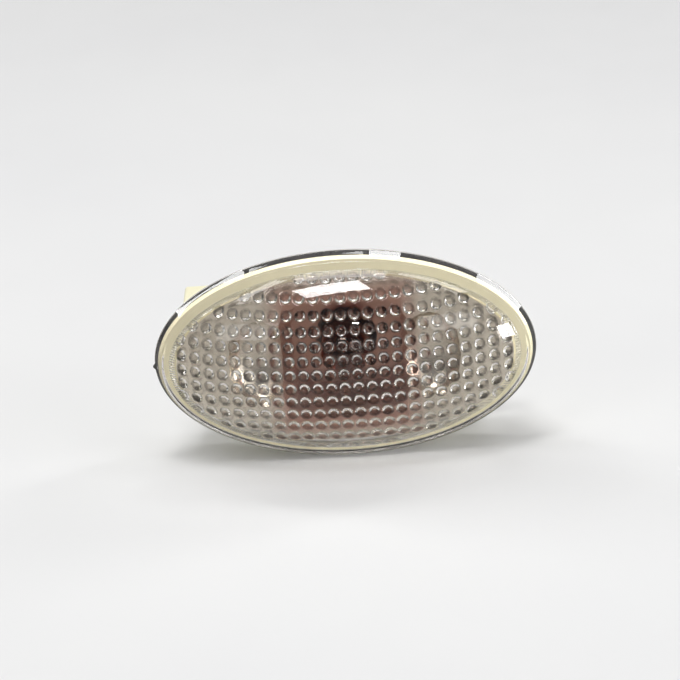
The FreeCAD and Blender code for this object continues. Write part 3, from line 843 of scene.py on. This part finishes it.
# %% World
WORLD_SEEN = (0.14, 0.14, 0.145)
WORLD_IN_LENS = (0.06, 0.06, 0.065)
world = bpy.data.worlds.new("studio")
scene.world = world
world.use_nodes = True
tree = world.node_tree
ray = tree.nodes.new("ShaderNodeLightPath").outputs
in_lens = math_node(tree, "MAXIMUM", ray["Is Glossy Ray"], ray["Is Transmission Ray"])
world_colour = mix_colour(tree, in_lens, WORLD_SEEN, WORLD_IN_LENS)
tree.links.new(world_colour, tree.nodes["Background"].inputs["Color"])
print("world:", len(tree.nodes), "nodes")

# %% [markdown]
# Each highlight on the lens mirrors one strip, so a strip is given by the directions between which it
# reaches, as seen from the lamp. Those directions were worked out from the places of the highlights.


# %% Strips of light
def strip_light(name, start, end, distance, width, brightness):
    """A strip of light at a distance from the lamp, which reaches from one direction to another. It faces
    the lamp, and its watts are its length times its width times a brightness for each square metre."""
    start = Vector(start).normalized()
    end = Vector(end).normalized()
    towards = (start + end).normalized()
    along = end - start
    along = (along - along.dot(towards) * towards).normalized()
    light = bpy.data.lights.new(name, "AREA")
    light.shape = "RECTANGLE"
    light.size = distance * start.angle(end)
    light.size_y = width
    light.energy = light.size * width * brightness
    strip = bpy.data.objects.new(name, light)
    turned = Matrix((along, towards.cross(along), towards)).transposed().to_4x4()
    strip.matrix_world = Matrix.Translation(distance * towards) @ turned
    scene.collection.objects.link(strip)


NEAR = 0.60
MIDDLE = 0.75
BEHIND_STREAKS = 0.76
FAR = 1.0
strip_light("above", (-0.24, -0.31, 0.92), (0.09, -0.21, 0.975), NEAR, width=0.13, brightness=60.0)
strip_light("foot_left", (-0.54, -0.13, 0.83), (-0.30, 0.10, 0.95), NEAR, width=0.05, brightness=20.0)
strip_light("above_foot", (-0.24, 0.06, 0.97), (0.18, 0.05, 0.98), NEAR, width=0.10, brightness=15.0)
strip_light("foot_right", (0.24, 0.10, 0.965), (0.62, -0.09, 0.78), NEAR, width=0.05, brightness=20.0)
strip_light("left_streak", (-0.74, 0.585, 0.33), (-0.40, 0.513, 0.76), MIDDLE, width=0.10, brightness=34.0)
strip_light("right_streak", (0.56, 0.505, 0.65), (0.80, 0.54, 0.20), MIDDLE, width=0.09, brightness=34.0)
strip_light("top_streak", (0.08, 0.483, 0.872), (0.21, 0.487, 0.847), MIDDLE, width=0.08, brightness=45.0)
strip_light(
    "back_wash", (-0.40, 0.51, 0.76), (0.07, 0.483, 0.873), BEHIND_STREAKS, width=0.07, brightness=24.0
)
strip_light("right_end", (0.875, -0.42, 0.12), (0.965, -0.20, 0.12), NEAR, width=0.16, brightness=62.0)
strip_light("front_left", (-0.76, -0.56, 0.48), (-0.40, -0.78, 0.48), FAR, width=0.30, brightness=6.0)
strip_light("front_right", (0.78, -0.54, 0.46), (0.42, -0.76, 0.46), FAR, width=0.30, brightness=7.0)
strip_light("sparkle", (0.022, -0.832, 0.554), (0.052, -0.832, 0.554), FAR, width=0.03, brightness=222.0)
print("strips of light:", len(bpy.data.lights))

# %% [markdown]
# ## Camera
# The photo looks from twenty degrees above, a little from the right, and the lamp lies slightly turned
# in it. A long lens far away keeps the outline as flat as the photo's.

# %% Camera at the photo's view
AZIMUTH = math.radians(2.5)
ELEVATION = math.radians(20.0)
ROLL = math.radians(4.2)
DISTANCE = 1.5
FRAME_WIDTH = 138.2 * MM
SHIFT_RIGHT = 1.016 * MM
SHIFT_UP = -3.78 * MM
back = Vector((
    math.sin(AZIMUTH) * math.cos(ELEVATION),
    -math.cos(AZIMUTH) * math.cos(ELEVATION),
    math.sin(ELEVATION),
))
level_right = Vector((math.cos(AZIMUTH), math.sin(AZIMUTH), 0.0))
level_up = back.cross(level_right)
right = math.cos(ROLL) * level_right - math.sin(ROLL) * level_up
up = math.sin(ROLL) * level_right + math.cos(ROLL) * level_up
aim = Vector((0.0, RIM_LEVEL, 0.0)) - SHIFT_RIGHT * right - SHIFT_UP * up
camera_data = bpy.data.cameras.new("camera")
camera_data.lens = camera_data.sensor_width * DISTANCE / FRAME_WIDTH
camera = bpy.data.objects.new("camera", camera_data)
scene.collection.objects.link(camera)
turned = Matrix((right, up, back)).transposed().to_4x4()
camera.matrix_world = Matrix.Translation(aim + DISTANCE * back) @ turned
scene.camera = camera
print("camera:", round(camera_data.lens), "mm lens,", DISTANCE, "m away")

# %% [markdown]
# Light crosses both faces of the lens and of the bulb's glass on its way in, and again on its way out, so
# it may bounce more often than usual.

# %% View and bounces
scene.view_settings.view_transform = "Standard"
scene.cycles.max_bounces = 24
scene.cycles.transmission_bounces = 20
scene.cycles.glossy_bounces = 10
print("bounces:", scene.cycles.max_bounces)
